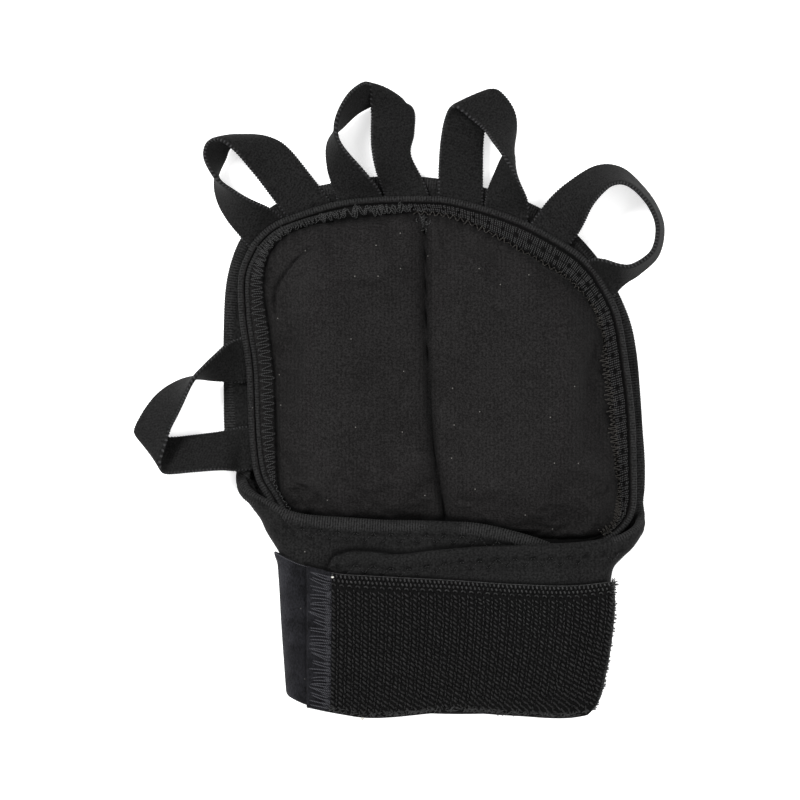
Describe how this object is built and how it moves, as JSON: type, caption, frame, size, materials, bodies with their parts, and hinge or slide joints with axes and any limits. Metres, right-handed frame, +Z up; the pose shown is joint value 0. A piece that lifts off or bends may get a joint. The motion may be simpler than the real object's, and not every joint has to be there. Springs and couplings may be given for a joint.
{
  "type": "weighted training glove",
  "caption": "Open weighted training glove: neoprene hand panel with a sewn weight pad, elastic finger and thumb loops, and a wrap-over wrist closed by a hook-and-loop strap.",
  "frame": {"origin": "centre of the part's outline at the height of the surface that it lies on", "axes": "+Y from the wrist towards the fingertips, +Z up out of the weight pad, +X towards the little-finger side, away from the thumb loop"},
  "size_m": [0.1502, 0.1796, 0.0167],
  "materials": {
    "neoprene": "matt black knit-faced neoprene",
    "pad_cover": "matt black nylon knit with a faint speckle",
    "elastic": "finely ribbed black woven elastic",
    "plush": "soft brushed loop pile, bluish black",
    "hook_tape": "dense black hook tape with lengthwise ribs"
  },
  "bodies": {
    "root": {"neoprene_shell": "neoprene", "weight_pad": "pad_cover", "finger_loop_1": "elastic", "finger_loop_2": "elastic", "finger_loop_3": "elastic", "finger_loop_4": "elastic", "thumb_loop": "elastic", "wrist_strap": "plush", "hook_panel": "hook_tape"}
  },
  "joints": []
}
